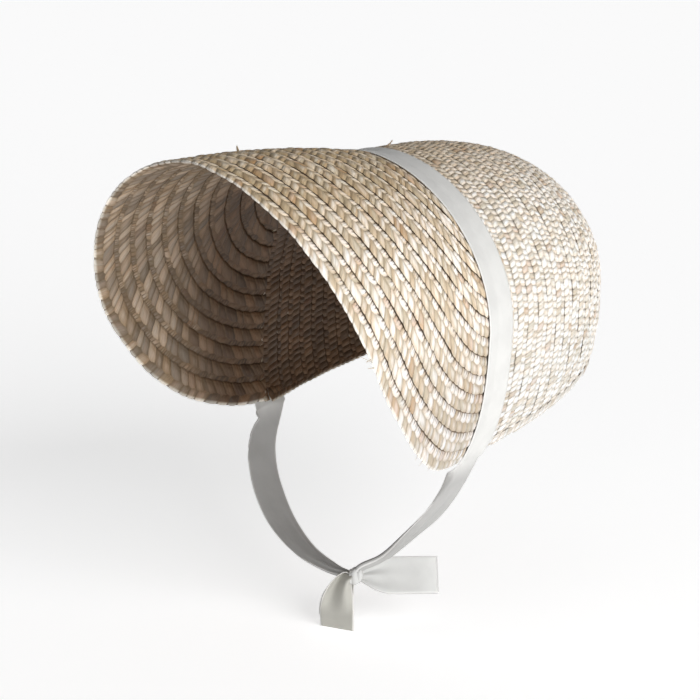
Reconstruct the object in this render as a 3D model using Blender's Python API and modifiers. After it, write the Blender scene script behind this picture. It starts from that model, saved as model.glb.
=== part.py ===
"""Straw bonnet: a deep sewn-braid brim and a rounded crown, with a ribbon over the seam
that runs down both sides as ties and ends in a one-loop bow.

Frame: +Z up, -Y is the wearer's front, +X the wearer's left side. The origin is the inner
face of the straw at the top of the seam, where the hat sits on the head.
All sizes below are millimetres and degrees; meshes are written in metres.
"""
import math

import bmesh
import bpy
import numpy as np

METRES = 0.001

# Straw wall and its braid rows
STRAW_WALL = 2.0
RIB_RISE = 0.8
RIB_CREST = 0.25
BRIM_ROWS = 14
CROWN_ROWS = 22
SEAM_GAP = 0.5

# Seam between brim and crown: an arch of two half ovals, open below
HALF_WIDTH = 88.0
TOP_HEIGHT = 84.5
LOW_HEIGHT = 94.0
TOP_POWER = 1.9
LOW_POWER = 3.0
SEAM_DROP = 153.0
SEAM_LEAN = -15.0
SEAM_BOW = 2.0

# Brim
BRIM_DEPTH = 136.0
BRIM_TUCK = 3.0
SIDE_POWER = 2.5
DEPTH_POWER = 1.8
FLARE_TOP = 7.0
FLARE_SIDE = 7.0
FLARE_END = 10.5
BRIM_BULGE = 3.4

# Crown
CROWN_DEPTH = 143.0
CROWN_POWER = 2.42
TIP_RISE = 2.5
NAPE_RISE = 0.185
POLE_SMOOTH = 0.1

# Ribbon
RIBBON_WIDTH = 20.0
RIBBON_THICK = 1.0
RIBBON_LIFT = 0.3
BAND_FRONT_TOP = 11.0
BAND_FRONT_END = 7.5
END_GAP = 0.3

# Knot, loop and tails of the bow
KNOT = (30.0, -52.4, -218.5)
KNOT_HALF = (5.0, 4.2, 5.0)
KNOT_POWER = 2.8
BOW_TURN = 48.0
GATHERED_WIDTH = 5.0
FULL_WIDTH_AT = 17.0
LOOP_REACH = 45.0
LOOP_OPEN = 4.6
LOOP_MOUTH = 0.9
LOOP_DROP = 1.0
LOOP_ROUND = 2.2
LOOP_SPREAD = 6.0
TAIL_CUP = 2.0
TAIL_FULL_AT = 26.0

# Mesh steps
BRIM_STEPS = 34
CROWN_STEPS = 30
BAND_STEPS = 52
TIE_STEPS = 26
LOOP_STEPS = 28
TAIL_STEPS = 8
CURVE_STEPS = 40
SLOPE_STEP = 0.5
TABLE_STEPS = 2001
MERGE = 1e-6
SHARP_ANGLE = 60.0

STRAW_COLOUR = (0.72, 0.58, 0.36, 1.0)
RIBBON_COLOUR = (0.70, 0.68, 0.60, 1.0)

# One row for each station of a tie, from the rim of the hat to the knot:
# centre x, y, z; direction of the front edge x, y, z; ribbon width there
LEFT_TIE = (
    (74.0, -22.2, -166.8, 0.28, -0.90, 0.35, 20.0),
    (66.0, -29.4, -180.9, 0.20, -0.93, 0.33, 19.5),
    (55.0, -35.1, -193.5, 0.24, -0.94, 0.24, 18.0),
    (42.0, -41.2, -207.1, 0.40, -0.90, 0.18, 13.0),
    (33.2, -49.4, -213.0, 0.48, -0.87, 0.10, 7.0),
)
RIGHT_TIE = (
    (-74.0, -22.2, -166.8, -0.28, -0.90, 0.35, 20.0),
    (-66.0, -29.4, -180.9, -0.20, -0.93, 0.33, 20.0),
    (-54.0, -36.0, -194.0, -0.20, -0.95, 0.20, 20.0),
    (-36.0, -43.0, -206.0, -0.12, -0.98, 0.10, 19.0),
    (-12.0, -49.5, -214.5, 0.00, -1.00, 0.05, 16.0),
    (10.0, -52.0, -218.0, 0.05, -1.00, 0.00, 11.0),
    (23.6, -52.4, -218.6, 0.05, -1.00, 0.00, 6.0),
)
# One row for each tail: name, then the start, bend and end of its middle line from the knot,
# each as distances along the bow, across it (towards the wearer's front) and up; its turn
TAILS = (
    ("bow_tail_front", (-7.5, 1.2, -2.8), (-10.5, 3.0, -6.5), (-10.3, 2.5, -29.0), 30.0),
    ("bow_tail_back", (-1.4, -2.0, -5.8), (-4.5, -6.0, -12.0), (-7.5, -8.5, -27.0), 24.0),
)


def clear_scene():
    for item in list(bpy.data.objects):
        bpy.data.objects.remove(item, do_unlink=True)


def make_material(name, colour, roughness):
    material = bpy.data.materials.new(name)
    material.use_nodes = True
    shader = material.node_tree.nodes["Principled BSDF"]
    shader.inputs["Base Color"].default_value = colour
    shader.inputs["Roughness"].default_value = roughness
    shader.inputs["Metallic"].default_value = 0.0
    return material


def signed_power(value, power):
    """Sign of the value times its size to the given power."""
    return np.sign(value) * np.abs(value) ** power


def section(angle):
    """Cross-section of the hat: angle 0 at the top, pi at the bottom, height from its middle."""
    sine, cosine = np.sin(angle), np.cos(angle)
    upper = cosine >= 0.0
    power = np.where(upper, TOP_POWER, LOW_POWER)
    height = np.where(upper, TOP_HEIGHT, LOW_HEIGHT)
    return HALF_WIDTH * np.abs(sine) ** (2 / power), height * signed_power(cosine, 2 / power)


def arc_table():
    """Angle, x, z and running length of half a section, from its top to its bottom."""
    angle = np.linspace(0.0, math.pi, TABLE_STEPS)
    x, z = section(angle)
    steps = np.hypot(np.diff(x), np.diff(z))
    return angle, x, z, np.concatenate([[0.0], np.cumsum(steps)])


ANGLE, ARC_X, ARC_Z, ARC_LENGTH = arc_table()
SEAM_LENGTH = float(np.interp(SEAM_DROP - TOP_HEIGHT, -ARC_Z, ARC_LENGTH))


def lean(height):
    """How far the seam lies behind the origin, for a height below the seam's top."""
    share = np.clip(-height / SEAM_DROP, 0.0, 1.2)
    return SEAM_BOW * 4.0 * share * (1.0 - share) + SEAM_LEAN * share ** 2


def seam(u):
    """Point and outward direction of the seam at the arc length u from its top."""
    along = np.abs(u)
    side = np.where(u < 0.0, -1.0, 1.0)
    x = np.interp(along, ARC_LENGTH, ARC_X)
    z = np.interp(along, ARC_LENGTH, ARC_Z) - TOP_HEIGHT
    after = along + SLOPE_STEP
    before = np.maximum(along - SLOPE_STEP, 0.0)
    run = np.interp(after, ARC_LENGTH, ARC_X) - np.interp(before, ARC_LENGTH, ARC_X)
    fall = np.interp(after, ARC_LENGTH, ARC_Z) - np.interp(before, ARC_LENGTH, ARC_Z)
    fall = np.where(along < SLOPE_STEP, 0.0, fall)
    size = np.hypot(run, fall)
    point = np.stack([x * side, lean(z), z + STRAW_WALL], -1)
    outward = np.stack([-fall / size * side, np.zeros_like(x), run / size], -1)
    return point, outward


def flare(u):
    """Outward angle of the brim in degrees: top, side and end values joined by a parabola."""
    share = np.clip(np.abs(u) / SEAM_LENGTH, 0.0, 1.0)
    middle = 2.0 * FLARE_SIDE - (FLARE_TOP + FLARE_END) / 2.0
    return (FLARE_TOP * (1.0 - share) ** 2 + 2.0 * middle * share * (1.0 - share)
            + FLARE_END * share ** 2)


def brim_point(u, v):
    """Brim surface at arc length u along the seam and depth v in front of it."""
    point, outward = seam(u)
    angle = np.radians(flare(u))[..., None]
    forward = np.sin(angle) * outward - np.cos(angle) * np.array([0.0, 1.0, 0.0])
    bulge = BRIM_BULGE * np.sin(np.clip(v / BRIM_DEPTH, 0.0, 1.0) * math.pi)
    return point + v[..., None] * forward + bulge[..., None] * outward


def brim_row(depth_in):
    """A braid row in the flat pattern, evenly spaced: half an oval, depth_in behind the edge."""
    reach = SEAM_LENGTH - BRIM_TUCK - depth_in
    depth = BRIM_DEPTH - depth_in
    share = depth_in / BRIM_DEPTH
    side = SIDE_POWER + (2.0 - SIDE_POWER) * share
    front = DEPTH_POWER + (2.0 - DEPTH_POWER) * share
    t = np.linspace(0.0, math.pi, TABLE_STEPS)
    u = reach * signed_power(np.cos(t), 2 / side)
    v = depth * np.abs(np.sin(t)) ** (2 / front)
    run = np.concatenate([[0.0], np.cumsum(np.hypot(np.diff(u), np.diff(v)))])
    even = np.linspace(0.0, run[-1], BRIM_STEPS + 1)
    return np.interp(even, run, u), np.interp(even, run, v)


def rib_stations(rows):
    """Row positions as shares 0..1 with the relief there: low at a row's edge, then its crest."""
    stations = []
    for row in range(rows):
        stations.append((row / rows, 0.0))
        stations.append(((row + RIB_CREST) / rows, RIB_RISE))
    stations.append((1.0, 0.0))
    return stations


def grid_normals(points):
    """Unit normals of a grid of points, from the cross product of its two directions."""
    across = np.gradient(points, axis=1)
    down = np.gradient(points, axis=0)
    normal = np.cross(across, down)
    size = np.linalg.norm(normal, axis=-1, keepdims=True)
    return normal / np.maximum(size, 1e-9)


def brim_grid():
    stations = rib_stations(BRIM_ROWS)
    rows = []
    for share, _ in stations:
        u, v = brim_row(share * BRIM_DEPTH)
        rows.append(brim_point(u, v + SEAM_GAP / 2))
    points = np.array(rows)
    relief = np.array([rise for _, rise in stations])[:, None, None]
    return points - relief * grid_normals(points)


def crown_point(y, angle):
    """Crown surface y behind the seam: the section shrinks as an oval towards the tip."""
    scale = np.maximum(1.0 - (y / CROWN_DEPTH) ** CROWN_POWER, 0.0) ** (1 / CROWN_POWER)
    x, z = section(np.abs(angle))
    z = z * scale - TOP_HEIGHT + TIP_RISE * y / CROWN_DEPTH
    back = y + lean(z) * (1.0 - y / CROWN_DEPTH)
    return np.stack([np.sign(angle) * x * scale, back, z + STRAW_WALL], -1)


def crown_depths(shares):
    """Depth y of each share of the way from seam to tip, measured along the top of the crown."""
    turn = np.linspace(0.0, math.pi / 2, TABLE_STEPS)
    y = CROWN_DEPTH * np.sin(turn) ** (2 / CROWN_POWER)
    z = TOP_HEIGHT * np.cos(turn) ** (2 / CROWN_POWER)
    run = np.concatenate([[0.0], np.cumsum(np.hypot(np.diff(y), np.diff(z)))])
    return np.interp(np.array(shares) * run[-1], run, y)


def open_angle(y):
    """Section angle where the nape edge cuts the crown, or pi where the section is closed."""
    scale = max(1.0 - (y / CROWN_DEPTH) ** CROWN_POWER, 0.0) ** (1 / CROWN_POWER)
    middle = -TOP_HEIGHT + TIP_RISE * y / CROWN_DEPTH
    reach = middle - (-SEAM_DROP + NAPE_RISE * y)
    if reach >= LOW_HEIGHT * scale:
        return math.pi
    return math.pi - math.acos((reach / (LOW_HEIGHT * scale)) ** (LOW_POWER / 2))


def crown_grid():
    stations = rib_stations(CROWN_ROWS)
    depths = crown_depths([share for share, _ in stations])
    rows = []
    for y in depths:
        end = np.interp(open_angle(y), ANGLE, ARC_LENGTH)
        along = np.linspace(-end, end, CROWN_STEPS + 1)
        angle = np.sign(along) * np.interp(np.abs(along), ARC_LENGTH, ANGLE)
        rows.append(crown_point(y, angle) + np.array([0.0, SEAM_GAP / 2, 0.0]))
    points = np.array(rows)
    relief = np.array([rise for _, rise in stations])[:, None, None]
    relief = np.where(depths[:, None, None] > CROWN_DEPTH - POLE_SMOOTH, 0.0, relief)
    points = points + relief * grid_normals(points)
    closed = np.array([open_angle(y) >= math.pi for y in depths])
    under = (points[closed, 0] + points[closed, -1]) / 2
    points[closed, 0] = under
    points[closed, -1] = under
    return points


def band_grid():
    """Ribbon over the seam: from its front edge on the brim to its back edge on the crown."""
    u = np.linspace(-SEAM_LENGTH, SEAM_LENGTH, BAND_STEPS + 1)
    angle = np.sign(u) * np.interp(np.abs(u), ARC_LENGTH, ANGLE)
    _, outward = seam(u)
    front = BAND_FRONT_TOP + (BAND_FRONT_END - BAND_FRONT_TOP) * np.abs(u) / SEAM_LENGTH
    rows = [brim_point(u, front), brim_point(u, np.zeros_like(u))]
    rows += [crown_point(share * (RIBBON_WIDTH - front), angle) for share in (0.5, 1.0)]
    return np.array([row + (RIB_RISE + RIBBON_LIFT) * outward for row in rows])


def smooth_table(table, steps):
    """A curve through the table's rows, sampled evenly in its length (Catmull-Rom)."""
    points = np.array(table, float)
    padded = np.vstack([2 * points[0] - points[1], points, 2 * points[-1] - points[-2]])
    pieces = []
    for index in range(len(points) - 1):
        a, b, c, d = padded[index:index + 4]
        t = np.linspace(0.0, 1.0, CURVE_STEPS, endpoint=False)[:, None]
        pieces.append(0.5 * (2 * b + (c - a) * t + (2 * a - 5 * b + 4 * c - d) * t ** 2
                             + (3 * b - 3 * c + d - a) * t ** 3))
    curve = np.vstack(pieces + [points[-1:]])
    run = np.concatenate([[0.0], np.cumsum(np.linalg.norm(np.diff(curve[:, :3], axis=0), axis=1))])
    even = np.linspace(0.0, run[-1], steps + 1)
    return np.stack([np.interp(even, run, curve[:, k]) for k in range(curve.shape[1])], -1)


def strip_grid(stations):
    """Two edges of a ribbon from rows of centre, front-edge direction and width."""
    centre, front, width = stations[:, :3], stations[:, 3:6], stations[:, 6:7]
    front = front / np.linalg.norm(front, axis=1, keepdims=True)
    return np.array([centre + front * width / 2, centre, centre - front * width / 2])


def tie_grid(table, side):
    """A tie: it starts where the band over the seam ends and follows its table to the knot."""
    band = band_grid()[:, -1 if side > 0 else 0]
    inner = band_grid()[:, -2 if side > 0 else 1]
    centre = (band[0] + band[-1]) / 2 + RIBBON_THICK / 2 * np.array([side, 0.0, 0.0])
    down = (band[0] + band[-1] - inner[0] - inner[-1]) / 2
    down /= np.linalg.norm(down)
    front = (band[0] - band[-1]) / np.linalg.norm(band[0] - band[-1])
    start = centre + down * (2 * END_GAP)
    first = (*start, *front, RIBBON_WIDTH)
    return strip_grid(smooth_table((first,) + table, TIE_STEPS))


def bow_axes():
    """Unit vectors of the bow: out along its loop, and across its thickness."""
    turn = math.radians(BOW_TURN)
    out = np.array([math.cos(turn), math.sin(turn), 0.0])
    return out, np.array([math.sin(turn), -math.cos(turn), 0.0])


def gathered(distance, full_at):
    """Ribbon width at a distance from the knot: narrow in the knot, full at full_at."""
    share = np.clip(distance / full_at, 0.0, 1.0)
    ease = np.sin(share * math.pi / 2)
    return GATHERED_WIDTH + (RIBBON_WIDTH - GATHERED_WIDTH) * ease


def loop_grid():
    """Teardrop loop: out from the knot, round its end and back, its width upright."""
    out, across = bow_axes()
    t = np.linspace(-1.0, 1.0, LOOP_STEPS + 1)
    start = KNOT_HALF[0] + END_GAP
    beyond = (LOOP_REACH - start) * (1.0 - np.abs(t) ** LOOP_ROUND)
    half = LOOP_MOUTH + (LOOP_OPEN - LOOP_MOUTH) * np.sin(np.abs(t) * math.pi)
    swell = np.sign(t) * half * np.minimum(1.0, np.abs(t) * LOOP_SPREAD)
    centre = np.array(KNOT) + (start + beyond)[:, None] * out + swell[:, None] * across
    centre[:, 2] -= LOOP_DROP * beyond / (LOOP_REACH - start)
    half_width = gathered(beyond, FULL_WIDTH_AT)[:, None] / 2 * np.array([0.0, 0.0, 1.0])
    return np.array([centre + half_width, centre, centre - half_width])


def tail_grid(start, bend, end, turn):
    """A hanging tail on a parabola, narrow and cupped at the knot and flat at its free end."""
    frame = np.array([*bow_axes(), (0.0, 0.0, 1.0)])
    start, bend, end = np.array((start, bend, end)) @ frame + np.array(KNOT)
    share = np.linspace(0.0, 1.0, TAIL_STEPS + 1)[:, None]
    centre = (1 - share) ** 2 * start + 2 * share * (1 - share) * bend + share ** 2 * end
    run = np.linalg.norm(centre - start, axis=1, keepdims=True)
    angle = math.radians(turn) * share
    side = np.cos(angle) * frame[0] + np.sin(angle) * frame[1]
    half_width = side * gathered(run, TAIL_FULL_AT) / 2
    cup = frame[1] * TAIL_CUP * (1.0 - share) * np.sin(share * math.pi)
    return np.array([centre - half_width - cup, centre + cup, centre + half_width - cup])


def grid_object(name, points, material, offset, thickness, flip=False):
    """An open grid surface made solid: doubled points are merged, then a wall is added."""
    rows, columns = points.shape[:2]
    mesh = bmesh.new()
    vertices = [mesh.verts.new(point) for point in points.reshape(-1, 3) * METRES]
    for row in range(rows - 1):
        for column in range(columns - 1):
            first = row * columns + column
            loop = (first, first + 1, first + columns + 1, first + columns)
            mesh.faces.new([vertices[index] for index in (reversed(loop) if flip else loop)])
    bmesh.ops.remove_doubles(mesh, verts=mesh.verts, dist=MERGE)
    bmesh.ops.dissolve_degenerate(mesh, edges=mesh.edges, dist=MERGE)
    item = new_object(name, mesh, material)
    wall = item.modifiers.new("Wall", "SOLIDIFY")
    wall.thickness = thickness * METRES
    wall.offset = offset
    wall.use_even_offset = False
    item.data.shade_smooth()
    item.data.set_sharp_from_angle(angle=math.radians(SHARP_ANGLE))
    return item


def new_object(name, mesh, material):
    data = bpy.data.meshes.new(name)
    mesh.to_mesh(data)
    mesh.free()
    data.materials.append(material)
    item = bpy.data.objects.new(name, data)
    bpy.data.collections["Straw bonnet"].objects.link(item)
    return item


def knot_object(material):
    """Knot: a ball pressed towards a box, turned to face along the bow."""
    mesh = bmesh.new()
    bmesh.ops.create_uvsphere(mesh, u_segments=16, v_segments=10, radius=1.0)
    out, across = bow_axes()
    for vertex in mesh.verts:
        ball = np.array(vertex.co)
        size = (np.abs(ball) ** KNOT_POWER).sum() ** (1 / KNOT_POWER)
        local = ball / size * np.array(KNOT_HALF)
        place = local[0] * out - local[1] * across + np.array([0.0, 0.0, local[2]])
        vertex.co = (np.array(KNOT) + place) * METRES
    bmesh.ops.recalc_face_normals(mesh, faces=mesh.faces)
    item = new_object("bow_knot", mesh, material)
    item.data.shade_smooth()
    return item


def main():
    clear_scene()
    collection = bpy.data.collections.new("Straw bonnet")
    bpy.context.scene.collection.children.link(collection)
    straw = {name: make_material("Straw " + name, STRAW_COLOUR, 0.55) for name in ("brim", "crown")}
    grid_object("brim", brim_grid(), straw["brim"], -1.0, STRAW_WALL, flip=True)
    grid_object("crown", crown_grid(), straw["crown"], -1.0, STRAW_WALL)
    ribbon = {}
    names = ("ribbon_band", "ribbon_tie_left", "ribbon_tie_right", "bow_knot", "bow_loop")
    for name in names + tuple(row[0] for row in TAILS):
        ribbon[name] = make_material("Ribbon " + name, RIBBON_COLOUR, 0.5)
    grid_object("ribbon_band", band_grid(), ribbon["ribbon_band"], 1.0, RIBBON_THICK)
    left, right = tie_grid(LEFT_TIE, 1.0), tie_grid(RIGHT_TIE, -1.0)
    grid_object("ribbon_tie_left", left, ribbon["ribbon_tie_left"], 0.0, RIBBON_THICK)
    grid_object("ribbon_tie_right", right, ribbon["ribbon_tie_right"], 0.0, RIBBON_THICK)
    knot_object(ribbon["bow_knot"])
    grid_object("bow_loop", loop_grid(), ribbon["bow_loop"], 0.0, RIBBON_THICK)
    for name, *line in TAILS:
        grid_object(name, tail_grid(*line), ribbon[name], 0.0, RIBBON_THICK)


main()
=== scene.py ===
"""Straw bonnet: the looks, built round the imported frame.

The brim and crown are made of plaited straw rows laid over the solids' own surfaces, and the
ribbon is one length of cloth over the seam, with its knot, loop and tails. Lengths in the
formulas are millimetres, as in the solids' source; meshes are written in metres.
"""
import math

import bpy
import numpy as np
from mathutils import Euler, Matrix, Vector


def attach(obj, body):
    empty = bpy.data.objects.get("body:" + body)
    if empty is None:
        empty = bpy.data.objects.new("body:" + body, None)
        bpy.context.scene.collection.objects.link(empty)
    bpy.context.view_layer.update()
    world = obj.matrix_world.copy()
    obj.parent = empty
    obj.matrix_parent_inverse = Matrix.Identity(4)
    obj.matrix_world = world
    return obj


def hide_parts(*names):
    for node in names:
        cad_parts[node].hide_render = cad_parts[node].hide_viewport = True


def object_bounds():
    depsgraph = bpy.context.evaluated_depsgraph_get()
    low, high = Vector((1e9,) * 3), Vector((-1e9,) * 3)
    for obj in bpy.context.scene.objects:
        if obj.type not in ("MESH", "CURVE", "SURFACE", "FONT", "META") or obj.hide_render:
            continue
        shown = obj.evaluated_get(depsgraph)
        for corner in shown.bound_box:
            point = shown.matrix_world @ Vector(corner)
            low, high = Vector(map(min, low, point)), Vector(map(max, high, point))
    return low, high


bl_info = {
    "name": "Straw bonnet",
    "version": (1, 0, 0),
    "blender": (4, 5, 0),
    "location": "View3D > Sidebar > Bonnet",
    "description": "Plaited straw rows, ribbon and studio for a straw bonnet",
    "category": "Object",
}

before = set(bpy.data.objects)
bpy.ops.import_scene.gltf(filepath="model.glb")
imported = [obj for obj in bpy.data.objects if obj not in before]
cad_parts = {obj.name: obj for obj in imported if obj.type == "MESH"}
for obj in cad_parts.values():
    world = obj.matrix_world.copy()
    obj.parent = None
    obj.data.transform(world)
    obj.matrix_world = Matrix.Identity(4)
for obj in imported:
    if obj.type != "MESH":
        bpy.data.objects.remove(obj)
SOLID_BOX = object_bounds()

METRES = 0.001
IMAGE_SIZE = 700
SENSOR = 36.0

# Hat shape, the same values as the solids
STRAW_WALL = 2.0
SEAM_GAP = 0.5
HALF_WIDTH = 88.0
TOP_HEIGHT = 84.5
LOW_HEIGHT = 94.0
TOP_POWER = 1.9
LOW_POWER = 3.0
SEAM_DROP = 153.0
SEAM_LEAN = -15.0
SEAM_BOW = 2.0
BRIM_DEPTH = 136.0
BRIM_TUCK = 3.0
BRIM_ROWS = 14
SIDE_POWER = 2.5
DEPTH_POWER = 1.8
FLARE_TOP = 7.0
FLARE_SIDE = 7.0
FLARE_END = 10.5
BRIM_BULGE = 3.4
CROWN_DEPTH = 143.0
CROWN_ROWS = 22
CROWN_POWER = 2.42
TIP_RISE = 2.5
NAPE_RISE = 0.185

# Ribbon and bow, the same values as the solids
RIBBON_WIDTH = 20.0
RIBBON_LIFT = 1.7
BAND_FRONT_TOP = 11.0
BAND_FRONT_END = 7.5
KNOT = np.array((30.0, -52.4, -218.5))
KNOT_HALF = (5.0, 4.2, 5.0)
KNOT_POWER = 2.8
KNOT_PLEATS = 3.4
KNOT_PLEAT_DEPTH = 0.16
KNOT_NARROWED = 0.8
KNOT_CORE = 0.8
KNOT_SLANT = 0.5
KNOT_WANDERS = (0.7, 0.25)
KNOT_PHASE = 0.7
PLEAT_ROUND = 0.7
KNOT_SIDES = 96
KNOT_STATIONS = 41
KNOT_CLOSED = 0.995
BOW_TURN = 48.0
GATHERED_WIDTH = 5.0
FULL_WIDTH_AT = 17.0
LOOP_REACH = 45.0
LOOP_OPEN = 4.6
LOOP_MOUTH = 0.9
LOOP_DROP = 1.0
LOOP_ROUND = 2.2
LOOP_SPREAD = 6.0
LOOP_START = 2.5
LOOP_TILT = -25.0
LOOP_PLEAT = 0.7
LOOP_PLEAT_START = 4.0
LOOP_PLEAT_FADE = 11.0
LOOP_PLEAT_TURN = 14.0
LOOP_PLEAT_PHASE = 1.0
LOOP_FOLDS = 2.5
LOOP_FOLD_SHARE = 0.5
LOOP_STATIONS = 113
TAIL_FULL_AT = 26.0
TAIL_STATIONS = 45
TAIL_FOLDS = 1.3
TAIL_FOLD_CREST = 0.25 / TAIL_FOLDS
CREASE_AT = 0.34
CREASE_WITHIN = 9.0
CREASE_OUT = 34.0
CREASE_START = 60.0
CREASE_END = 150.0
LEFT_TIE_FOLDS = 2.0
RIGHT_TIE_FOLDS = 2.5
NEVER_FLAT = 0.9999

# One row for each station of a tie, from the rim of the hat to the knot:
# centre x, y, z; direction of the front edge x, y, z; ribbon width there
LEFT_TIE = (
    (74.0, -22.2, -166.8, 0.28, -0.90, 0.35, 20.0),
    (66.0, -29.4, -180.9, 0.20, -0.93, 0.33, 19.0),
    (55.0, -35.1, -193.5, 0.24, -0.94, 0.24, 15.0),
    (42.0, -41.2, -207.1, 0.40, -0.90, 0.18, 8.5),
    (33.2, -49.4, -213.0, 0.48, -0.87, 0.10, 5.5),
    (31.0, -51.2, -216.0, 0.50, -0.86, 0.10, 5.0),
)
RIGHT_TIE = (
    (-74.0, -22.2, -166.8, -0.28, -0.90, 0.35, 20.0),
    (-66.0, -29.4, -180.9, -0.20, -0.93, 0.33, 20.0),
    (-54.0, -36.0, -194.0, -0.20, -0.95, 0.20, 20.0),
    (-36.0, -43.0, -206.0, -0.12, -0.98, 0.10, 19.0),
    (-12.0, -49.5, -214.5, 0.00, -1.00, 0.05, 16.0),
    (10.0, -52.0, -218.0, 0.05, -1.00, 0.00, 11.0),
    (23.6, -52.4, -218.6, 0.05, -1.00, 0.00, 6.0),
    (27.5, -52.4, -218.4, 0.05, -1.00, 0.00, 5.0),
)

# Start in the knot, two bends and end of each tail's middle line from the knot, each as
# distances along the bow, across it and up, with the tail's turn in degrees and its fold's phase
TAILS = {
    "bow_tail_front": (
        (-2.0, 0.5, 1.2), (-8.5, 2.0, 1.5), (-11.0, 3.0, -10.0), (-10.3, 2.5, -29.0), 30.0, 0.6),
    "bow_tail_back": (
        (-1.6, -1.0, -1.0), (-6.8, -3.5, -5.0), (-10.1, -7.0, -15.0), (-11.4, -8.5, -27.0), 38.0, 2.0),
}

# Straw ends that stick out: on the crown or not, the place (y and angle, or u and the depth
# behind the front edge), turn from the first direction, rise, length, drop at the end, half width
LOOSE_STRAWS = (
    (True, 14.0, -0.13, 60.0, 40.0, 6.5, 1.5, 0.4),
    (True, 14.5, -0.11, 20.0, 55.0, 6.0, 0.5, 0.45),
    (True, 15.5, -0.09, -30.0, 38.0, 7.0, 2.0, 0.4),
    (True, 17.0, -0.12, 80.0, 30.0, 5.0, 1.0, 0.4),
    (False, -14.4, 49.0, 70.0, 75.0, 3.6, 0.1, 0.8),
    (False, 125.0, 0.8, 118.0, 12.0, 12.0, 2.5, 0.36),
    (False, 127.0, 0.8, 100.0, 20.0, 7.5, 1.5, 0.36),
    (False, 123.0, 0.8, 80.0, 16.0, 5.0, 1.0, 0.36),
    (False, 176.0, 0.8, 20.0, 10.0, 4.0, 0.8, 0.36),
    (False, 181.0, 0.8, 55.0, 14.0, 4.5, 1.0, 0.36),
    (False, 186.5, 0.8, 10.0, 12.0, 3.5, 0.6, 0.36),
)
LOOSE_POINTS = 9
LOOSE_SIDES = 8
LOOSE_TAPER = 0.6
LOOSE_FLATNESS = 0.4
LOOSE_PATTERN = (0.5, 0.3)
ROW_TOP = 1.0
HAT_MIDDLE = np.array((0.0, 0.0, -80.0))

# Sampling
TABLE_STEPS = 2001
CURVE_STEPS = 40
SLOPE_STEP = 0.5
STATION_STEP = 0.66
FEWEST_STATIONS = 8
CLOTH_STEP = 1.2
CLOTH_ACROSS = 16

# One plaited row: shares of its pitch that it reaches past each edge, and its section
ROW_OVERHANG = 0.03
ROW_TUCK = 0.17
ROW_THICKNESS = 1.15
EDGE_POWER = 6.0

# Each kind of row: lift of its outer edge, bulge, height over the surface, lean of its lobes
# and how far its ends sink under the ribbon
BRIM_SECTION = (1.6, 0.9, 0.0, 0.5, 0.0)
CROWN_SECTION = (0.85, 0.25, 0.1, 0.2, 0.0)
BINDING_SECTION = (-1.4, 0.7, 0.5, 0.4, 2.0)
PRESS_DEPTH = 0.9
PRESS_FADE = 3.0
COLUMN_EDGE = 0.43
TIP_REACH = 0.05
LOBE_POWER = 2.2
LOBE_ROUND = 0.6
LOBE_SINK = 0.6
LOBE_SIZES = (0.6, 1.1)
STRAWS_IN_LOBE = 3
INNER_BULGE = -0.2
SCALLOP_ROUND = 0.7
SCALLOP_MIDDLE = 0.6
SCALLOP_REACH = 0.3
END_CALM = 20.0
SEAM_LAP = 0.35
NAPE_LAP = 1.5
NAPE_REACH = 0.999
TIP_CLOSING = 0.01
BINDING_WIDTH = 7.5
EDGE_CROWDING = 0.2
BRIM_FACE_POINTS = 19
CROWN_FACE_POINTS = 15
BACK_POINTS = 7

# How a row wanders: size and wave length of its plait's pace, its height and its place
PACE_WANDER = (0.3, 34.0)
HEIGHT_WANDER = (0.15, 46.0)
PLACE_WANDER = (0.25, 60.0)
WANDER_PACES = (0.6, 2.4)
WANDER_SCALE = 2.6

# Pieces of brim and crown, each with its first row and the one after its last
BRIM_PIECES = (("brim_outer_rows", 0, 4), ("brim_middle_rows", 4, 8), ("brim_inner_rows", 8, 14))
CROWN_PIECES = (("crown_front_rows", 0, 7), ("crown_middle_rows", 7, 14), ("crown_tip_rows", 14, 22))

# Finish of the straw: how much painted shade darkens the column at the outer edge, as on the side
# of a row turned from the light, which tones are dull and light, where a crest's painted highlight
# starts and is palest, where its gaps start, how dark the painted shade in gaps and slits and the
# painted shadow under tucked edges are, roughness, the painted shade of its inner face, and the
# painted light and shade of the outer face at three heights from the lowest, lightest at the middle
# height and darker and browner at the top
FINISHES = {
    "brim": {"outer_column_shade": 0.35, "tones": (0.08, 0.7), "crest_low": 0.30, "crest_high": 0.95,
             "gap_low": 0.72, "gaps": 0.6, "slits": 0.85, "tuck_shadow": 0.88, "rough": 0.36,
             "inside": (0.39, 0.32, 0.265, 1.0),
             "painted_light_by_height": ((0.84, 0.85, 0.93, 1.0), (1.14, 1.12, 1.16, 1.0), (0.93, 0.84, 0.74, 1.0))},
    "crown": {"outer_column_shade": 0.05, "tones": (-0.2, 0.6), "crest_low": 0.5, "crest_high": 0.9,
              "gap_low": 0.62, "gaps": 0.55, "slits": 0.15, "tuck_shadow": 0.2, "rough": 0.38,
              "inside": (0.27, 0.20, 0.14, 1.0),
              "painted_light_by_height": ((0.88, 0.93, 1.05, 1.0), (1.03, 1.05, 1.13, 1.0), (0.78, 0.69, 0.60, 1.0))},
}
# Heights, in metres, of the painted light and shade on the straw's outer face
PAINTED_LIGHT_HEIGHTS = (-0.135, -0.03, 0.014)
# Places along y, in metres, over which the painted shade inside the hat deepens
DEEP_SHADE_PLACES = (-0.078, -0.032)
ROW_APART = 150.0
WARM_CAST = (1.04, 0.97, 0.89, 1.0)
COOL_CAST = (0.97, 1.0, 1.0, 1.0)

# Layers of chance, one for each thing that differs from lobe to lobe or straw to straw
LOBE_LAYER, STRAW_LAYER, TAN_LAYER, HUE_LAYER, UNEVEN_LAYER = 3.0, 7.0, 19.0, 31.0, 43.0

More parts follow.
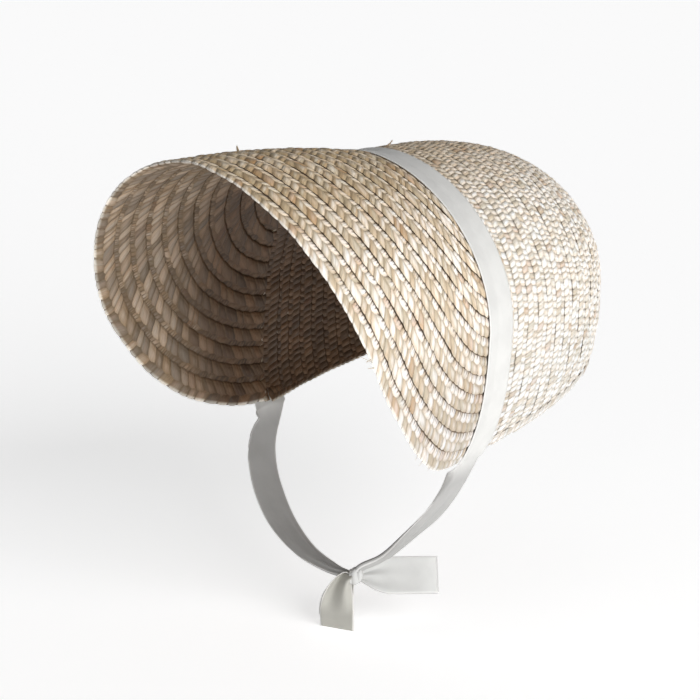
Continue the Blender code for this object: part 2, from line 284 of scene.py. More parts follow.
# How much of a tone is the lobe's own, how strong the painted highlights on crests and the tan lobes
# are, and the painted shade in the gaps, roughness and uneven tones of the inner face
LOBE_SHARE = 0.65
CREST_HIGHLIGHT_SHARE = 0.85
CREST_TONES = (0.7, 0.55)
TAN_STRENGTH = 0.42
INNER_GAPS = 0.95
INNER_ROUGH = 0.65
INNER_TONES = (0.68, 1.3)

# Fibres along a straw: turns in a lobe, turns from lobe to lobe, turns across a row; their tones
FIBRE_TURNS = (16.0, 3.7, 5.0)
FIBRE_TONES = (0.3, 0.7, 0.86, 1.06)

# Where a thing starts and ends across a row, a straw or a lobe, and how strong it is there: the
# painted highlight on the brim's front edge, painted shade on the inner face, in slits, gaps, the
# zigzag and between straws, and the painted shadow under the next row
RIM_HIGHLIGHT_FADE = (0.03, 0.14, 0.7, 0.0)
INNER_SHADE_FADE = (0.02, 0.16, 0.1, 1.0)
SLIT_PLACES = (0.5, 0.76)
SLIT_SIDES = (0.45, 0.85)
TUCK_SHADOW_PLACES = (0.77, 0.81)
GAP_SIDES = (0.0, 1.0, 0.25, 1.0)
ZIGZAG_FADE = (0.0, 0.05, 0.22, 0.0)
STRAW_LINE = (0.7, 1.0, 0.0, 0.16)

# Where the painted shadow line under an inner row breaks off: change from row to row, scale, and fade
TUCK_WANDER = (9.0, 0.37, (0.38, 0.58, 0.25, 1.0))

# Ribbon cloth: where its woven edge ends and fades, in mm, and its patches, flecks and weave
SELVEDGE = (0.5, 0.9)
SELVEDGE_SHARE = 0.5
SELVEDGE_COLOUR = (0.85, 0.84, 0.82, 1.0)
PATCH_SCALE = 90.0
PATCH_EDGES = (0.3, 0.7)
FLECK = 0.95
WEAVE_HEIGHT = 0.00005

# Studio
FLOOR_HALF = 6.0
SURROUND_TOP = 0.8
SURROUND_TOP_SHARE = 0.35
WHITE = (1.0, 1.0, 1.0, 1.0)


def signed_power(value, power):
    """Sign of the value times its size to the given power."""
    return np.sign(value) * np.abs(value) ** power


def section(angle):
    """Cross-section of the hat: angle 0 at the top, pi at the bottom, height from its middle."""
    sine, cosine = np.sin(angle), np.cos(angle)
    upper = cosine >= 0.0
    power = np.where(upper, TOP_POWER, LOW_POWER)
    height = np.where(upper, TOP_HEIGHT, LOW_HEIGHT)
    return HALF_WIDTH * np.abs(sine) ** (2 / power), height * signed_power(cosine, 2 / power)


def running_length(*coordinates):
    """Length along a line of points from its start, from the sizes of its steps."""
    steps = np.sqrt(sum(np.diff(value) ** 2 for value in coordinates))
    return np.concatenate([[0.0], np.cumsum(steps)])


ANGLE = np.linspace(0.0, math.pi, TABLE_STEPS)
ARC_X, ARC_Z = section(ANGLE)
ARC_LENGTH = running_length(ARC_X, ARC_Z)
SEAM_LENGTH = float(np.interp(SEAM_DROP - TOP_HEIGHT, -ARC_Z, ARC_LENGTH))


def lean(height):
    """How far the seam lies behind the origin, for a height below the seam's top."""
    share = np.clip(-height / SEAM_DROP, 0.0, 1.2)
    return SEAM_BOW * 4.0 * share * (1.0 - share) + SEAM_LEAN * share ** 2


def seam(u):
    """Point and outward direction of the seam at the arc length u from its top."""
    along = np.abs(u)
    side = np.where(u < 0.0, -1.0, 1.0)
    x = np.interp(along, ARC_LENGTH, ARC_X)
    z = np.interp(along, ARC_LENGTH, ARC_Z) - TOP_HEIGHT
    after = along + SLOPE_STEP
    before = np.maximum(along - SLOPE_STEP, 0.0)
    run = np.interp(after, ARC_LENGTH, ARC_X) - np.interp(before, ARC_LENGTH, ARC_X)
    fall = np.interp(after, ARC_LENGTH, ARC_Z) - np.interp(before, ARC_LENGTH, ARC_Z)
    fall = np.where(along < SLOPE_STEP, 0.0, fall)
    size = np.hypot(run, fall)
    point = np.stack([x * side, lean(z), z + STRAW_WALL], -1)
    outward = np.stack([-fall / size * side, np.zeros_like(x), run / size], -1)
    return point, outward


def flare(u):
    """Outward angle of the brim in degrees: top, side and end values joined by a parabola."""
    share = np.clip(np.abs(u) / SEAM_LENGTH, 0.0, 1.0)
    middle = 2.0 * FLARE_SIDE - (FLARE_TOP + FLARE_END) / 2.0
    return (FLARE_TOP * (1.0 - share) ** 2 + 2.0 * middle * share * (1.0 - share)
            + FLARE_END * share ** 2)


def brim_point(u, v):
    """Brim surface at arc length u along the seam and depth v in front of it."""
    point, outward = seam(u)
    angle = np.radians(flare(u))[..., None]
    forward = np.sin(angle) * outward - np.cos(angle) * np.array([0.0, 1.0, 0.0])
    bulge = BRIM_BULGE * np.sin(np.clip(v / BRIM_DEPTH, 0.0, 1.0) * math.pi)
    return point + v[..., None] * forward + bulge[..., None] * outward


def brim_oval(depth_in):
    """Reach, depth and powers of the oval that lies depth_in behind the brim's front edge."""
    share = depth_in / BRIM_DEPTH
    return (SEAM_LENGTH - BRIM_TUCK - depth_in, BRIM_DEPTH - depth_in,
            SIDE_POWER + (2.0 - SIDE_POWER) * share, DEPTH_POWER + (2.0 - DEPTH_POWER) * share)


def brim_line(depth_in, shares):
    """A line of the brim in its flat pattern: half an oval, depth_in behind the front edge."""
    reach, depth, side, front = brim_oval(min(depth_in, BRIM_DEPTH - 0.01))
    t = np.linspace(0.0, math.pi, TABLE_STEPS)
    u = reach * signed_power(-np.cos(t), 2 / side)
    v = depth * np.abs(np.sin(t)) ** (2 / front)
    run = running_length(u, v)
    even = shares * run[-1]
    return brim_point(np.interp(even, run, u), np.interp(even, run, v) + SEAM_GAP / 2)


def crown_scale(y):
    """How far the crown's section has shrunk at y behind the seam, as an oval."""
    share = np.clip(y / CROWN_DEPTH, 0.0, 1.0)
    return (1.0 - share ** CROWN_POWER) ** (1 / CROWN_POWER)


def crown_point(y, angle):
    """Crown surface y behind the seam: the section shrinks as an oval towards the tip."""
    x, z = section(np.abs(angle))
    z = z * crown_scale(y) - TOP_HEIGHT + TIP_RISE * y / CROWN_DEPTH
    back = y + lean(z) * (1.0 - y / CROWN_DEPTH)
    return np.stack([np.sign(angle) * x * crown_scale(y), back, z + STRAW_WALL], -1)


TURN = np.linspace(0.0, math.pi / 2, TABLE_STEPS)
MERIDIAN_Y = CROWN_DEPTH * np.sin(TURN) ** (2 / CROWN_POWER)
MERIDIAN_RUN = running_length(MERIDIAN_Y, TOP_HEIGHT * np.cos(TURN) ** (2 / CROWN_POWER))
CROWN_PITCH = MERIDIAN_RUN[-1] / CROWN_ROWS


def crown_depth(share):
    """Depth y of a share of the way from seam to tip, measured along the top of the crown."""
    run = share * MERIDIAN_RUN[-1]
    return run if share < 0.0 else float(np.interp(run, MERIDIAN_RUN, MERIDIAN_Y))


def open_share(y, above):
    """How far down the lower half of the crown reaches before the nape line, 1 where closed."""
    reach = SEAM_DROP - above - NAPE_RISE * y - TOP_HEIGHT + TIP_RISE * y / CROWN_DEPTH
    return np.clip(reach / np.maximum(LOW_HEIGHT * crown_scale(y), 1e-6), 0.0, 1.0)


def open_angle(y, above):
    """Section angle of the line above the nape edge, or pi where the section is closed."""
    return math.pi - np.arccos(open_share(y, above) ** (LOW_POWER / 2))


def crown_line(share, shares):
    """A line of the crown round its section, from nape to nape, even in its length."""
    y = crown_depth(min(share, 1.0))
    end = np.interp(open_angle(max(y, 0.0), NAPE_LAP), ANGLE, ARC_LENGTH)
    along = end * (2.0 * shares - 1.0)
    angle = np.sign(along) * np.interp(np.abs(along), ARC_LENGTH, ANGLE)
    return crown_point(np.full_like(angle, y), angle) + np.array([0.0, SEAM_GAP / 2, 0.0])


def nape_line(above, shares):
    """The line where the crown meets the nape plane, moved up by a distance: a level U."""
    y = np.linspace(0.0, CROWN_DEPTH * NAPE_REACH, TABLE_STEPS)
    closed = np.argmax(open_share(y, above) >= 1.0)
    y = y[closed] * np.sin(np.linspace(0.0, math.pi / 2, TABLE_STEPS))
    half = crown_point(y, open_angle(y, above)) + np.array([0.0, SEAM_GAP / 2, 0.0])
    half[-1, 0] = 0.0
    line = np.vstack([half, half[-2::-1] * np.array([-1.0, 1.0, 1.0])])
    run = running_length(*line.T)
    return np.stack([np.interp(shares * run[-1], run, value) for value in line.T], -1)


def unit(vectors):
    """Vectors divided by their lengths."""
    return vectors / np.maximum(np.linalg.norm(vectors, axis=-1, keepdims=True), 1e-9)


def grid_normals(points):
    """Unit normals of a grid of points, from the cross product of its two directions."""
    return unit(np.cross(np.gradient(points, axis=0), np.gradient(points, axis=1)))


def middle_run(grid):
    """Running length along a grid's middle line."""
    return running_length(*grid[:, grid.shape[1] // 2].T)


def packed(*values):
    """Values of one or more shapes as the last axis of one array."""
    return np.stack(np.broadcast_arrays(*values), -1)


def slow_wave(length, wave, seed):
    """Smooth wandering value about 0 along a line: four sines of seeded phase and length."""
    source = np.random.default_rng(seed)
    phase = source.uniform(0.0, 2.0 * math.pi, 4)
    pace = source.uniform(*WANDER_PACES, 4)
    waves = sum(np.sin(2.0 * math.pi * length / wave * k + a) for k, a in zip(pace, phase))
    return waves / WANDER_SCALE


def plait_relief(p, q, x, cells, seed):
    """Height 0 to 1 of the plait: two columns of pillow-like lobes that meet in a zigzag.

    p and q count the lobes of the two columns along the row, and x goes 0 to 1 across it. A
    lobe's height is an arch along the row times an arch across its column, times its own size.
    """
    size = np.random.default_rng(seed).uniform(*LOBE_SIZES, (2, cells))
    off_p, off_q = np.abs(2.0 * (p % 1.0) - 1.0), np.abs(2.0 * (q % 1.0) - 1.0)
    past = x > COLUMN_EDGE + TIP_REACH * (off_q - off_p)
    own = np.where(past, size[1][np.floor(q).astype(int) % cells],
                   size[0][np.floor(p).astype(int) % cells])
    middle = np.where(past, 1.5, 0.5) * COLUMN_EDGE
    side = np.minimum(np.abs(x - middle) / (COLUMN_EDGE / 2), 1.0)
    along = np.where(past, off_q, off_p)
    return own * (1.0 - along ** LOBE_POWER) ** LOBE_ROUND * (1.0 - LOBE_SINK * side ** LOBE_POWER)


def face_positions(count):
    """Positions 0 to 1 across a row's face, a little closer together at its two edges."""
    t = np.linspace(0.0, 1.0, count)
    return (1.0 - 2.0 * EDGE_CROWDING) * t + EDGE_CROWDING * (1.0 - np.cos(math.pi * t))


def pressed_share(points):
    """How far the ribbon presses the straw flat: 1 between its front and back edge, 0 outside."""
    behind = points[..., 1] - lean(points[..., 2] - STRAW_WALL)
    fall = np.clip((STRAW_WALL - points[..., 2]) / SEAM_DROP, 0.0, 1.0)
    front = BAND_FRONT_TOP + (BAND_FRONT_END - BAND_FRONT_TOP) * fall
    inside = np.minimum(behind + front, RIBBON_WIDTH - front - behind)
    return np.clip(0.5 + inside / PRESS_FADE, 0.0, 1.0)


def braid_row(base, width, cell, straw, seed, section_values, closed=False):
    """One plaited row as a closed tube round the base grid (stations, positions across).

    The outer face runs over all positions and the inner face back over a few of them. Both
    stand off the grid along its normal by the row's section: a tilt, so that this edge lies on
    the row before it, a bulge, a rounded thickness, and the plait's relief, whose lobes lean by
    a slope. The edges go in and out in scallops, one for each splint that turns there. The
    row is pressed flat under the ribbon, and its ends sink by its section's last value.
    """
    lift, bulge, offset, slope, sink = section_values
    stations, count = base.shape[:2]
    normal = grid_normals(base)
    if closed:
        normal[0] = normal[-1] = unit(normal[0] + normal[-1])
    length = middle_run(base)
    calm = np.minimum(np.minimum(length, length[-1] - length) / END_CALM, 1.0)

    def wander(size, wave, step):
        return (size * calm * slow_wave(length, wave, seed + step))[:, None]

    cells = max(round(length[-1] / cell), 1)
    s = (length / length[-1] * cells)[:, None] + wander(*PACE_WANDER, 2)
    position = face_positions(count)
    back = np.linspace(0, count - 1, BACK_POINTS).round().astype(int)[::-1]
    ring = np.concatenate([np.arange(count), back])
    outer = np.concatenate([np.ones(count), -np.ones(BACK_POINTS)])
    x = position[ring]
    slant = slope * width / cell
    p, q = s + slant * x, s + slant * (1.0 - x) + 0.5
    edge = np.maximum(1.0 - np.abs(2.0 * x - 1.0) ** EDGE_POWER, 0.0) ** (1 / 3)
    relief = (plait_relief(p, q, x, cells, seed) - 0.5) * straw.relief / METRES * edge
    swell = bulge * np.sin(math.pi * x) * np.where(outer > 0, 1.0, INNER_BULGE)
    height = offset + lift * (0.5 - x) + swell + outer * (ROW_THICKNESS / 2 * edge + relief)
    height = height + wander(*HEIGHT_WANDER, 0) - (sink * (1.0 - calm))[:, None]
    height = height - PRESS_DEPTH * pressed_share(base[:, ring])
    lobe_here = np.abs(np.sin(math.pi * s)) ** SCALLOP_ROUND - SCALLOP_MIDDLE
    lobe_there = np.abs(np.cos(math.pi * s)) ** SCALLOP_ROUND - SCALLOP_MIDDLE
    here = np.clip(1.0 - x / SCALLOP_REACH, 0.0, 1.0) ** 2
    there = np.clip(1.0 - (1.0 - x) / SCALLOP_REACH, 0.0, 1.0) ** 2
    shift = (lobe_there * there - lobe_here * here) * straw.scallop / METRES
    shift = shift + wander(*PLACE_WANDER, 1)
    across = unit(np.gradient(base, axis=1))
    points = base[:, ring] + normal[:, ring] * height[..., None] + across[:, ring] * shift[..., None]
    apart = ROW_APART * seed
    return points, packed(p + apart, q + apart, x * outer), closed


def tube_faces(stations, ring, closed):
    """Quads of a tube of rings: its sides, and a ladder of quads over each end if open."""
    spots = np.arange(ring)
    after = (spots + 1) % ring
    start = np.arange(stations - 1)[:, None] * ring
    sides = np.stack([start + spots, start + after, start + ring + after, start + ring + spots], -1)
    sides = sides.reshape(-1, 4)
    if closed:
        return sides
    rung = np.arange(ring // 2 - 1)
    cap = np.stack([rung, ring - 1 - rung, ring - 2 - rung, rung + 1], -1)
    last = (stations - 1) * ring + cap[:, ::-1]
    return np.vstack([sides, cap, last])


def add_piece(name, tubes, material):
    """A mesh object from tubes of (points, pattern, closed), facing outwards, riding the body.

    A closed tube's last ring is its first one again: the faces share its points, and keep
    their own pattern values, so that the pattern runs on over the join.
    """
    points, patterns, faces = [], [], []
    first = 0
    for grid, pattern, closed in tubes:
        stations, ring = grid.shape[:2]
        quads = tube_faces(stations, ring, closed)
        used = (stations - 1 if closed else stations) * ring
        flat = grid.reshape(-1, 3)[:used]
        corner = flat[quads % used]
        volume = np.einsum("ij,ij->i", corner[:, 0], np.cross(corner[:, 1], corner[:, 2])).sum()
        volume += np.einsum("ij,ij->i", corner[:, 0], np.cross(corner[:, 2], corner[:, 3])).sum()
        quads = quads if volume > 0.0 else quads[:, ::-1]
        faces.append(quads % used + first)
        points.append(flat * METRES)
        patterns.append(pattern.reshape(-1, 3)[quads.ravel()])
        first += used
    points, patterns, faces = np.vstack(points), np.vstack(patterns), np.vstack(faces)
    mesh = bpy.data.meshes.new(name)
    mesh.vertices.add(len(points))
    mesh.vertices.foreach_set("co", points.ravel())
    mesh.loops.add(faces.size)
    mesh.loops.foreach_set("vertex_index", faces.ravel())
    mesh.polygons.add(len(faces))
    mesh.polygons.foreach_set("loop_start", np.arange(0, faces.size, 4))
    mesh.polygons.foreach_set("use_smooth", np.ones(len(faces), bool))
    mesh.update(calc_edges=True)
    layer = mesh.attributes.new("pattern", "FLOAT_VECTOR", "CORNER")
    layer.data.foreach_set("vector", patterns.astype(np.float32).ravel())
    mesh.materials.append(material)
    piece = bpy.data.objects.new(name, mesh)
    bpy.context.scene.collection.objects.link(piece)
    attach(piece, "root")
    return piece


def row_grid(line, places, guide):
    """Lines at the places across a row, their points even in length, and on the line at the
    guide place about one station step apart."""
    length = running_length(*line(guide, np.linspace(0.0, 1.0, TABLE_STEPS)).T)[-1]
    shares = np.linspace(0.0, 1.0, max(int(length / STATION_STEP), FEWEST_STATIONS) + 1)
    return np.stack([line(place, shares) for place in places], 1)


def brim_row(row, straw):
    """A row of the brim: lines at depths from just past its outer edge to under the next row."""
    pitch = BRIM_DEPTH / BRIM_ROWS
    reach = 1.0 + ROW_OVERHANG + ROW_TUCK
    depths = (row - ROW_OVERHANG + reach * face_positions(BRIM_FACE_POINTS)) * pitch
    base = row_grid(brim_line, depths, depths[BRIM_FACE_POINTS // 2])
    return braid_row(base, pitch * reach, straw.brim_cell / METRES, straw, row + 1, BRIM_SECTION)


def crown_row(row, straw):
    """A row of the crown: lines round it from its edge nearer the seam to under the next."""
    reach_before = SEAM_LAP if row == 0 else ROW_OVERHANG
    reach = 1.0 + reach_before + ROW_TUCK
    places = (row - reach_before + reach * face_positions(CROWN_FACE_POINTS)) / CROWN_ROWS
    places = np.minimum(places, 1.0 - TIP_CLOSING * (places[-1] - places) / places[-1])
    base = row_grid(crown_line, places, places[CROWN_FACE_POINTS // 2])
    closed = bool(open_share(max(crown_depth(places[0]), 0.0), NAPE_LAP) >= 1.0)
    if closed:
        base[0] = base[-1] = (base[0] + base[-1]) / 2
    seed = BRIM_ROWS + row + 1
    cell = straw.crown_cell / METRES
    return braid_row(base, CROWN_PITCH * reach, cell, straw, seed, CROWN_SECTION, closed)


def nape_binding(straw):
    """The plaited row that binds the nape edge, lapped over the ends of the crown's rows."""
    heights = BINDING_WIDTH * face_positions(CROWN_FACE_POINTS)
    base = row_grid(nape_line, heights, heights[0])
    seed = BRIM_ROWS + CROWN_ROWS + 1
    return braid_row(base, BINDING_WIDTH, straw.crown_cell / METRES, straw, seed, BINDING_SECTION)


def loose_straws(straw):
    """Straw ends that stick out of the plait: thin tapered tubes. Each starts in a row, runs
    along its own direction and bends over, its height a parabola of the way along it."""
    tubes = []
    share = np.linspace(0.0, 1.0, LOOSE_POINTS)[:, None]
    turn = np.linspace(0.0, 2.0 * math.pi, LOOSE_SIDES, endpoint=False)
    for number, (on_crown, first, second, along, up, length, bend, width) in enumerate(LOOSE_STRAWS):
        place = crown_point if on_crown else brim_point
        if not on_crown:
            reach, depth, side_power, front_power = brim_oval(second)
            second = depth * (1.0 - (abs(first) / reach) ** side_power) ** (1 / front_power)
        spots = np.array([0.0, 1.0])
        spot, beside = place(first + spots, np.full(2, second))
        _, above = place(np.full(2, first), second + spots)
        one, other = unit(beside - spot), unit(above - spot)
        normal = unit(np.cross(one, other))
        normal = normal * np.sign(normal @ (spot - HAT_MIDDLE))
        run = math.cos(math.radians(along)) * one + math.sin(math.radians(along)) * other
        run = math.cos(math.radians(up)) * run + math.sin(math.radians(up)) * normal
        line = spot + normal * ROW_TOP + run * share * length - normal * bend * share ** 2
        side = unit(np.cross(run, normal))
        taper = width * (1.0 - LOOSE_TAPER * share ** 2)
        points = (line[:, None] + (taper * np.cos(turn))[..., None] * side
                  + (LOOSE_FLATNESS * taper * np.sin(turn))[..., None] * normal)
        pattern = np.full(points.shape, (number, *LOOSE_PATTERN))
        tubes.append((points, pattern, False))
    return tubes


def math_step(operation):
    """A method that puts a value, and one other if given, through a Math node."""
    return lambda value, *other: value.make.node("Math", value, *other, operation=operation)


class Value:
    """What a node gives. Arithmetic with it adds Math nodes beside that node."""

    __add__ = __radd__ = math_step("ADD")
    __sub__ = math_step("SUBTRACT")
    __mul__ = __rmul__ = math_step("MULTIPLY")
    __truediv__ = math_step("DIVIDE")
    __pow__ = math_step("POWER")
    __abs__ = math_step("ABSOLUTE")
    __gt__ = math_step("GREATER_THAN")
    __lt__ = math_step("LESS_THAN")
    floor = math_step("FLOOR")
    sine = math_step("SINE")
    at_least = math_step("MAXIMUM")
    at_most = math_step("MINIMUM")

    def __init__(self, make, socket):
        self.make = make
        self.socket = socket

    def __rsub__(self, other):
        return self.make.node("Math", other, self, operation="SUBTRACT")


class Wiring:
    """Short calls that add nodes to one material or surround and join them."""

    def __init__(self, owner, shader="Principled BSDF"):
        owner.use_nodes = True
        self.tree = owner.node_tree
        self.shader = self.tree.nodes[shader]

    def join(self, value, socket):
        """Link a value to a socket, or set the socket to a plain number or colour."""
        if isinstance(value, Value):
            self.tree.links.new(value.socket, socket)
        else:
            socket.default_value = value

    def node(self, kind, *values, **settings):
        """First result of a new node, with the values in those of its inputs that are in use."""
        node = self.tree.nodes.new("ShaderNode" + kind)
        for name, setting in settings.items():
            setattr(node, name, setting)
        for value, socket in zip(values, [socket for socket in node.inputs if socket.enabled]):
            self.join(value, socket)
        return Value(self, next(socket for socket in node.outputs if socket.enabled))

    def ease(self, value, low, high, first=0.0, last=1.0):
        """A smooth step: first below low, last above high."""
        return self.node("MapRange", value, low, high, first, last, interpolation_type="SMOOTHSTEP")

    def choose(self, share, first, last):
        """A number between two numbers."""
        return self.node("Mix", share, first, last)

    def tint(self, share, first, last, blend="MIX"):
        """A colour between two colours."""
        return self.node("Mix", share, first, last, data_type="RGBA", blend_type=blend)

    def times(self, colour, cast, share=1.0):
        """A colour multiplied by another, for a share of its strength."""
        return self.tint(share, colour, cast, "MULTIPLY")

    def shade(self, colour, value):
        """A colour multiplied by a number."""
        return self.times(colour, self.pack(value, value, value))

    def pack(self, x, y, z):
        """Three numbers as one vector."""
        return self.node("CombineXYZ", x, y, z)

    def split(self, vector):
        """The three numbers of a vector."""
        node = self.tree.nodes.new("ShaderNodeSeparateXYZ")
        self.join(vector, node.inputs[0])
        return [Value(self, socket) for socket in node.outputs]

    def pattern(self):
        """The three values of the piece's own pattern attribute."""
        node = self.tree.nodes.new("ShaderNodeAttribute")
        node.attribute_name = "pattern"
        return self.split(Value(self, node.outputs["Vector"]))

    def place(self, kind="Object"):
        """The piece's own place in metres, or another place that the texture node gives."""
        return Value(self, self.tree.nodes.new("ShaderNodeTexCoord").outputs[kind])

    def speckle(self, x, y, z):
        """A value 0 to 1 of its own for each whole-numbered place."""
        return self.node("TexWhiteNoise", self.pack(x, y, z), noise_dimensions="3D")

    def noise(self, vector, scale, detail):
        """Smooth noise 0 to 1 over a place."""
        return self.node("TexNoise", vector, scale, detail)

    def bump(self, height, distance, strength):
        """Raise the surface's normal by a height."""
        node = self.tree.nodes.new("ShaderNodeBump")
        node.inputs["Strength"].default_value = strength
        node.inputs["Distance"].default_value = distance
        self.join(height, node.inputs["Height"])
        self.tree.links.new(node.outputs[0], self.shader.inputs["Normal"])

    def set(self, **values):
        """Set or link the shader's own inputs, named with low lines for spaces."""
        for name, value in values.items():
            self.join(value, self.shader.inputs[name.replace("_", " ")])


def straw_material(name, straw, finish):
    """Plaited straw: every lobe and every straw in it has its own tone. A lobe has a painted highlight on
    its crest, painted shade in the gaps at its corners and in the slits where it goes under the next
    row, and a painted shadow under the next row's edge. The front edge of the brim has a painted
    highlight. The outer face is painted lighter or darker by its height, for how the light falls, and
    the inner face is duller and less even in tone, with painted shade that is darkest deep inside."""
    material = bpy.data.materials.new(name)
    make = Wiring(material)
    p, q, x = make.pattern()
    _, back, height = make.split(make.place())
    place = abs(x)
    inside = x < 0.0
    whole_p, whole_q = p.floor(), q.floor()
    part_p, part_q = p - whole_p, q - whole_q
    off_p, off_q = abs(part_p * 2.0 - 1.0), abs(part_q * 2.0 - 1.0)
    past = place - ((off_q - off_p) * TIP_REACH + COLUMN_EDGE)
    second = past > 0.0
    off = make.choose(second, off_p, off_q)
    own = make.choose(second, whole_p, whole_q)
    part = make.choose(second, part_p, part_q)
    middle = make.choose(second, 0.5 * COLUMN_EDGE, 1.5 * COLUMN_EDGE)
    side = (abs(place - middle) / (COLUMN_EDGE / 2)).at_most(1.0)
    crest = (1.0 - off ** LOBE_POWER) * (1.0 - side ** LOBE_POWER * LOBE_SINK)
    straws = part * float(STRAWS_IN_LOBE)
    whole_straw = straws.floor()
    straw_off = abs((straws - whole_straw) * 2.0 - 1.0)

    in_lobe, from_lobe, across_row = FIBRE_TURNS
    turns = make.pack(part * in_lobe + own * from_lobe, place * across_row, second)
    fibres = make.noise(turns, 1.0, 3.0)
    lobe = make.speckle(own, second, LOBE_LAYER)
    single = make.speckle(own, second, whole_straw + STRAW_LAYER)
    # Painted shade: the outer column of each row is darker, as the side turned from the light
    tone = lobe * LOBE_SHARE + single * (1.0 - LOBE_SHARE) - (1.0 - second) * finish["outer_column_shade"]
    colour = make.tint(make.ease(tone, *finish["tones"]), straw.shade_colour, straw.light_colour)
    # Painted highlight: each lobe is pale on its crest, more so on lighter lobes
    shine = crest * (tone * CREST_TONES[0] + CREST_TONES[1])
    shine = make.ease(shine, finish["crest_low"], finish["crest_high"])
    colour = make.tint(shine * CREST_HIGHLIGHT_SHARE, colour, straw.crest_highlight_colour)
    tan = make.speckle(own, second, TAN_LAYER) > 1.0 - straw.tan_share
    colour = make.tint(tan * TAN_STRENGTH, colour, straw.tan_colour)
    hue = make.speckle(own, second, whole_straw + HUE_LAYER)
    colour = make.times(colour, make.tint(hue, WARM_CAST, COOL_CAST))

    # Painted light and shade by height on the outer face: lightest at the middle height, darker and
    # browner at the top
    low_painted_light, middle_painted_light, top_painted_light = finish["painted_light_by_height"]
    cast = make.tint(make.ease(height, *PAINTED_LIGHT_HEIGHTS[:2]), low_painted_light, middle_painted_light)
    cast = make.tint(make.ease(height, *PAINTED_LIGHT_HEIGHTS[1:]), cast, top_painted_light)
    colour = make.times(colour, cast, 1.0 - inside)
    colour = make.shade(colour, make.ease(fibres, *FIBRE_TONES))
    covered = p > 2.0 * ROW_APART
    # Painted highlight along the front edge of the brim's first row, which has no row over it
    rim = (1.0 - covered) * make.ease(place, *RIM_HIGHLIGHT_FADE)
    colour = make.tint(rim, colour, straw.crest_highlight_colour)
    # Painted shade on the inner face, darkest deep inside the hat
    inner_shade = make.tint(make.ease(back, *DEEP_SHADE_PLACES), finish["inside"], straw.deep_shade_colour)
    colour = make.times(colour, inner_shade, inside * make.ease(place, *INNER_SHADE_FADE))
    uneven = make.ease(make.speckle(own, second, UNEVEN_LAYER), 0.0, 1.0, *INNER_TONES)
    colour = make.shade(colour, make.choose(inside, 1.0, uneven))

    # Painted shadow under the next row's edge, and painted shade in slits, corner gaps, the zigzag and
    # between straws
    pace, scale, fade = TUCK_WANDER
    wander = make.ease(make.noise(make.pack(own, inside * pace, second), scale, 2.0), *fade)
    under = make.choose(inside, place, (1.0 - place) * covered)
    tuck_shadow = make.ease(under, *TUCK_SHADOW_PLACES) * finish["tuck_shadow"] * make.choose(inside, 1.0, wander)
    slit = make.ease(under, *SLIT_PLACES) * make.ease(straw_off, *SLIT_SIDES) * finish["slits"]
    corner = make.ease(off, finish["gap_low"], 1.0) * make.ease(side, *GAP_SIDES)
    dark = corner * make.choose(inside, finish["gaps"], INNER_GAPS)
    dark = dark.at_least(make.ease(abs(past), *ZIGZAG_FADE))
    dark = dark.at_least(make.ease(straw_off, *STRAW_LINE))
    colour = make.tint(dark.at_least(slit).at_least(tuck_shadow), colour, straw.gap_shade_colour)
    make.bump(fibres * 0.12 - straw_off ** 2.0 * 0.15 + crest, straw.relief, 0.8)
    rough = fibres * 0.15 + make.choose(inside, finish["rough"], INNER_ROUGH)
    make.set(Base_Color=colour, Roughness=rough, Coat_Weight=0.3, Coat_Roughness=0.35)
    return material


def cloth_material(name, cloth, colour, painted_shade_colour):
    """Ribbon cloth: a fine weave from the pattern's millimetres along and across, a firmer
    line at each woven edge, a faint unevenness, and painted shade below the hat's rim."""
    material = bpy.data.materials.new(name)
    make = Wiring(material)
    along, across, _ = make.pattern()
    turns = 2.0 * math.pi * METRES / cloth.thread_spacing
    weave = (across * turns).sine() * (along * turns).sine()
    selvedge = make.ease(RIBBON_WIDTH / 2 - abs(across), *SELVEDGE, 1.0, 0.0)
    # Painted shade: a darker colour below the hat's rim, fading in over a height
    height = make.split(make.place())[2]
    low = make.ease(height, cloth.shade_from - cloth.shade_fade, cloth.shade_from, 1.0, 0.0)
    colour = make.tint(low, colour, painted_shade_colour)
    cloud = make.noise(make.place(), PATCH_SCALE, 3.0)
    colour = make.shade(colour, make.ease(cloud, *PATCH_EDGES, cloth.patches, 1.0))
    colour = make.shade(colour, make.ease(weave, -1.0, 1.0, FLECK, 1.0))
    colour = make.tint(selvedge * SELVEDGE_SHARE, colour, SELVEDGE_COLOUR)
    make.bump(weave * 0.5 + selvedge * 1.2, WEAVE_HEIGHT, 0.6)
    make.set(Base_Color=colour, Roughness=0.62, Sheen_Weight=0.15, Sheen_Roughness=0.4)
    return material


def floor_material(studio):
    """A pale floor that glows a little, so that it stays white under soft light."""
    material = bpy.data.materials.new("Floor")
    make = Wiring(material)
    make.set(Base_Color=studio.floor_colour, Roughness=0.8,
             Emission_Color=WHITE, Emission_Strength=studio.floor_glow)
    return material


def smooth_table(table, step):
    """A curve through the table's rows, sampled evenly in its length (Catmull-Rom)."""
    points = np.array(table, float)
    ends = np.vstack([2 * points[0] - points[1], points, 2 * points[-1] - points[-2]])
    t = np.linspace(0.0, 1.0, CURVE_STEPS, endpoint=False)[:, None]
    pieces = [0.5 * (2 * b + (c - a) * t + (2 * a - 5 * b + 4 * c - d) * t ** 2
                     + (3 * b - 3 * c + d - a) * t ** 3)
              for a, b, c, d in zip(ends, ends[1:], ends[2:], ends[3:])]
    curve = np.vstack(pieces + [points[-1:]])
    run = running_length(*curve[:, :3].T)
    even = np.linspace(0.0, run[-1], int(run[-1] / step) + 1)
    return np.stack([np.interp(even, run, value) for value in curve.T], -1)


